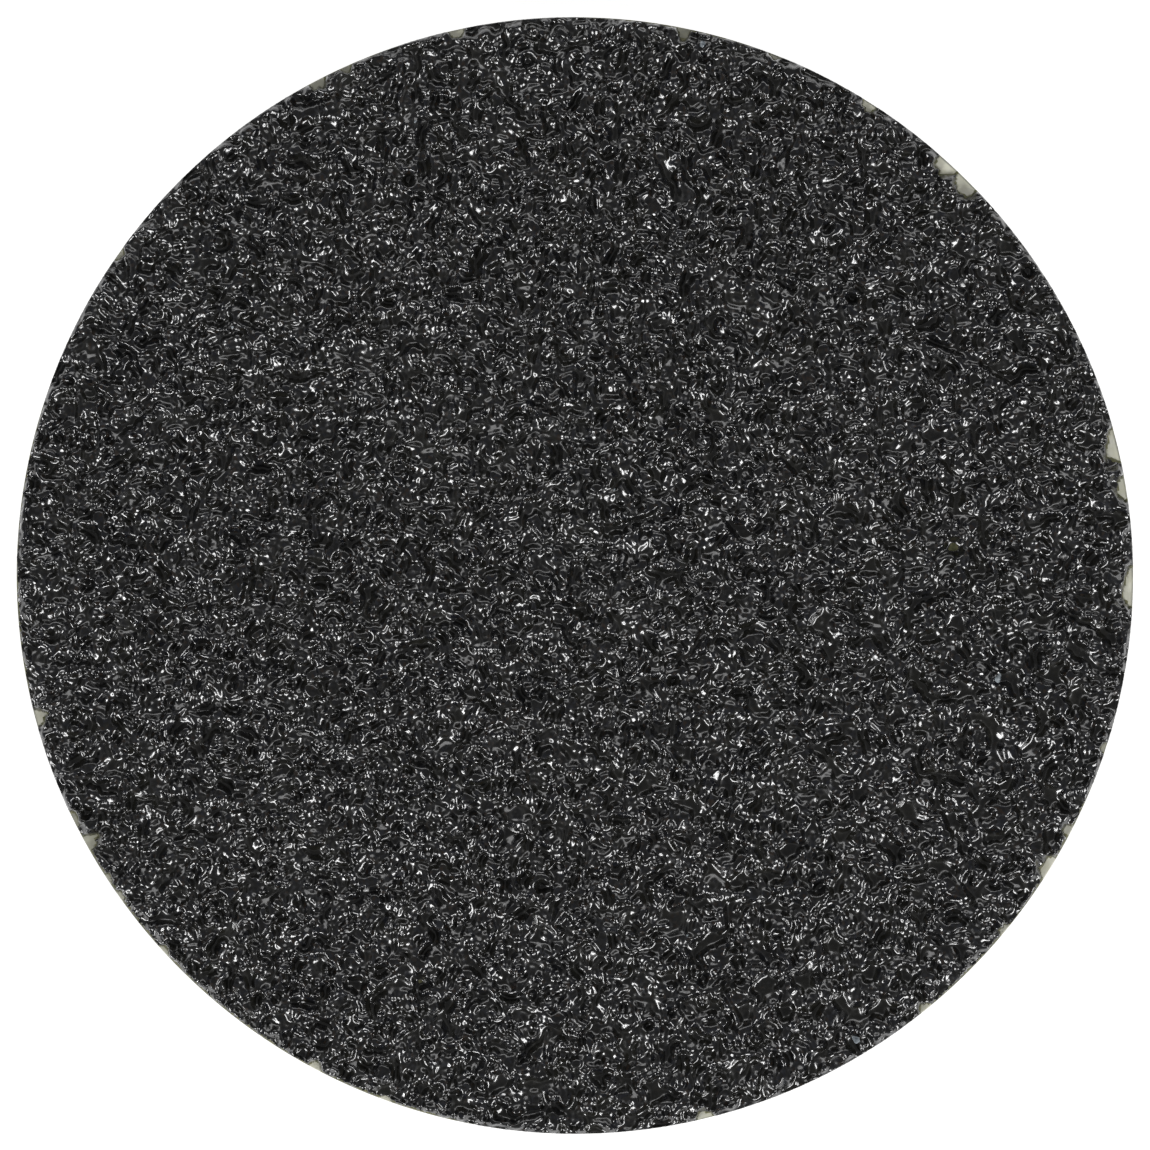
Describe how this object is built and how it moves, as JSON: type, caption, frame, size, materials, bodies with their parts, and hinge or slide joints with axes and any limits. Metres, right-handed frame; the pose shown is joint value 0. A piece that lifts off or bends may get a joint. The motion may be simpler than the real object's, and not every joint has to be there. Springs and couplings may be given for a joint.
{
  "type": "abrasive disc",
  "caption": "Round hook-and-loop abrasive disc of coarse black grit on cream cloth, for the backing pad of an angle grinder, with chips at its die-cut rim.",
  "frame": {"origin": "centre of the loop-pile face, which the disc lies on", "axes": "+Z out of the grit face, along the disc's axis; +X and +Y in the plane of the disc, with +X to the right and +Y up as the grit face is looked at"},
  "size_m": [0.125, 0.125, 0.0033],
  "materials": {
    "loop_nylon": "brushed nylon loop nap, matte",
    "knit_nylon": "fine warp knit, matte",
    "hot_melt": "cloudy adhesive film, satin",
    "back_filler": "starch and resin filler, matte",
    "cream_cloth": "heavy plain cloth, unbleached cream, matte",
    "stained_filler": "olive resin-stained filler, satin",
    "dark_resin": "dark phenolic resin, glossy",
    "silicon_carbide": "black silicon carbide, sharp glassy facets",
    "gloss_resin": "wet-looking black resin film, high gloss"
  },
  "bodies": {
    "root": {"loop_pile": "loop_nylon", "loop_knit_ground": "knit_nylon", "laminating_adhesive": "hot_melt", "back_size_coat": "back_filler", "backing_cloth": "cream_cloth", "front_fill_coat": "stained_filler", "make_coat": "dark_resin", "grain_layer": "silicon_carbide", "size_coat": "gloss_resin"}
  },
  "joints": []
}
